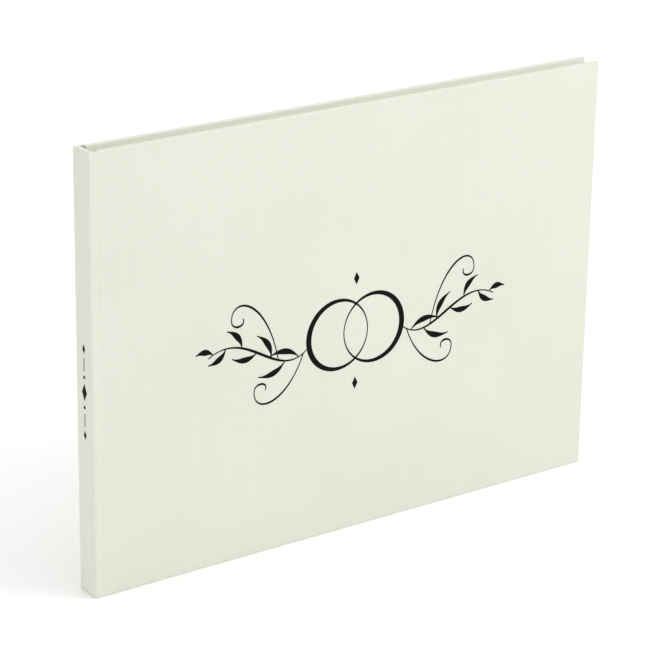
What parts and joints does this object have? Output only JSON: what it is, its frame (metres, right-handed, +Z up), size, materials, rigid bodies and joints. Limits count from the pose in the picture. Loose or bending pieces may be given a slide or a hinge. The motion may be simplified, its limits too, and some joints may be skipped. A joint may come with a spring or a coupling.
{
  "type": "guest book",
  "caption": "Landscape case-bound guest book in pale cloth with foil ornaments; two covers swing on cloth joints and the sewn leaves fan out with them.",
  "frame": {"origin": "middle of the foot of the closed book, on the surface it stands on", "axes": "+X from the spine to the fore-edge, -Y out of the front cover, +Z up to the head; the book stands on its tail edge"},
  "size_m": [0.2801, 0.0133, 0.205],
  "materials": {
    "bookcloth": "matte",
    "greyboard": "matte",
    "foil": "satin",
    "endpaper": "matte",
    "leaf_paper": "matte",
    "thread": "matte",
    "tape": "matte",
    "gauze": "matte",
    "lining": "matte",
    "band": "satin"
  },
  "bodies": {
    "spine": {"spine_board": "greyboard", "spine_cloth": "bookcloth", "spine_foil": "foil", "sewing_thread": "thread", "sewing_tapes": "tape", "mull": "gauze", "spine_lining": "lining", "headband": "band", "tailband": "band"},
    "front_cover": {"front_board": "greyboard", "front_cloth": "bookcloth", "front_foil": "foil", "front_pastedown": "endpaper", "front_joint_cloth": "bookcloth", "front_joint_lining": "endpaper"},
    "back_cover": {"back_board": "greyboard", "back_cloth": "bookcloth", "back_pastedown": "endpaper", "back_joint_cloth": "bookcloth", "back_joint_lining": "endpaper"},
    "front_flyleaf": {"front_flyleaf": "endpaper"},
    "back_flyleaf": {"back_flyleaf": "endpaper"},
    "section_01": {"section_01": "leaf_paper"},
    "section_02": {"section_02": "leaf_paper"},
    "section_03": {"section_03": "leaf_paper"},
    "section_04": {"section_04": "leaf_paper"},
    "section_05": {"section_05": "leaf_paper"},
    "section_06": {"section_06": "leaf_paper"},
    "section_07": {"section_07": "leaf_paper"},
    "section_08": {"section_08": "leaf_paper"},
    "section_09": {"section_09": "leaf_paper"},
    "section_10": {"section_10": "leaf_paper"}
  },
  "joints": [
    {"name": "front_cover_hinge", "type": "hinge", "parent": "spine", "child": "front_cover", "pos_m": [-0.13615, -0.0066, 0.1025], "axis": [0, 0, -1], "range_deg": [0, 178], "deforming": ["front_joint_cloth", "front_joint_lining"]},
    {"name": "front_flyleaf_turn", "type": "hinge", "parent": "spine", "child": "front_flyleaf", "pos_m": [-0.13615, -0.0034, 0.1025], "axis": [0, 0, -1], "range_deg": [0, 100]},
    {"name": "section_01_turn", "type": "hinge", "parent": "spine", "child": "section_01", "pos_m": [-0.13615, -0.0034, 0.1025], "axis": [0, 0, -1], "range_deg": [0, 88]},
    {"name": "section_02_turn", "type": "hinge", "parent": "spine", "child": "section_02", "pos_m": [-0.13615, -0.0034, 0.1025], "axis": [0, 0, -1], "range_deg": [0, 74]},
    {"name": "section_03_turn", "type": "hinge", "parent": "spine", "child": "section_03", "pos_m": [-0.13615, -0.0034, 0.1025], "axis": [0, 0, -1], "range_deg": [0, 60]},
    {"name": "section_04_turn", "type": "hinge", "parent": "spine", "child": "section_04", "pos_m": [-0.13615, -0.0034, 0.1025], "axis": [0, 0, -1], "range_deg": [0, 46]},
    {"name": "section_05_turn", "type": "hinge", "parent": "spine", "child": "section_05", "pos_m": [-0.13615, -0.0034, 0.1025], "axis": [0, 0, -1], "range_deg": [0, 31]},
    {"name": "back_cover_hinge", "type": "hinge", "parent": "spine", "child": "back_cover", "pos_m": [-0.13615, 0.0066, 0.1025], "axis": [0, 0, 1], "range_deg": [0, 178], "deforming": ["back_joint_cloth", "back_joint_lining"]},
    {"name": "back_flyleaf_turn", "type": "hinge", "parent": "spine", "child": "back_flyleaf", "pos_m": [-0.13615, 0.0034, 0.1025], "axis": [0, 0, 1], "range_deg": [0, 100]},
    {"name": "section_10_turn", "type": "hinge", "parent": "spine", "child": "section_10", "pos_m": [-0.13615, 0.0034, 0.1025], "axis": [0, 0, 1], "range_deg": [0, 88]},
    {"name": "section_09_turn", "type": "hinge", "parent": "spine", "child": "section_09", "pos_m": [-0.13615, 0.0034, 0.1025], "axis": [0, 0, 1], "range_deg": [0, 74]},
    {"name": "section_08_turn", "type": "hinge", "parent": "spine", "child": "section_08", "pos_m": [-0.13615, 0.0034, 0.1025], "axis": [0, 0, 1], "range_deg": [0, 60]},
    {"name": "section_07_turn", "type": "hinge", "parent": "spine", "child": "section_07", "pos_m": [-0.13615, 0.0034, 0.1025], "axis": [0, 0, 1], "range_deg": [0, 46]},
    {"name": "section_06_turn", "type": "hinge", "parent": "spine", "child": "section_06", "pos_m": [-0.13615, 0.0034, 0.1025], "axis": [0, 0, 1], "range_deg": [0, 31]}
  ],
  "couplings": [
    {"joint": "front_flyleaf_turn", "follows": "front_cover_hinge", "ratio": 0.55},
    {"joint": "section_01_turn", "follows": "front_cover_hinge", "ratio": 0.49},
    {"joint": "section_02_turn", "follows": "front_cover_hinge", "ratio": 0.41},
    {"joint": "section_03_turn", "follows": "front_cover_hinge", "ratio": 0.33},
    {"joint": "section_04_turn", "follows": "front_cover_hinge", "ratio": 0.25},
    {"joint": "section_05_turn", "follows": "front_cover_hinge", "ratio": 0.17},
    {"joint": "back_flyleaf_turn", "follows": "back_cover_hinge", "ratio": 0.55},
    {"joint": "section_10_turn", "follows": "back_cover_hinge", "ratio": 0.49},
    {"joint": "section_09_turn", "follows": "back_cover_hinge", "ratio": 0.41},
    {"joint": "section_08_turn", "follows": "back_cover_hinge", "ratio": 0.33},
    {"joint": "section_07_turn", "follows": "back_cover_hinge", "ratio": 0.25},
    {"joint": "section_06_turn", "follows": "back_cover_hinge", "ratio": 0.17}
  ]
}
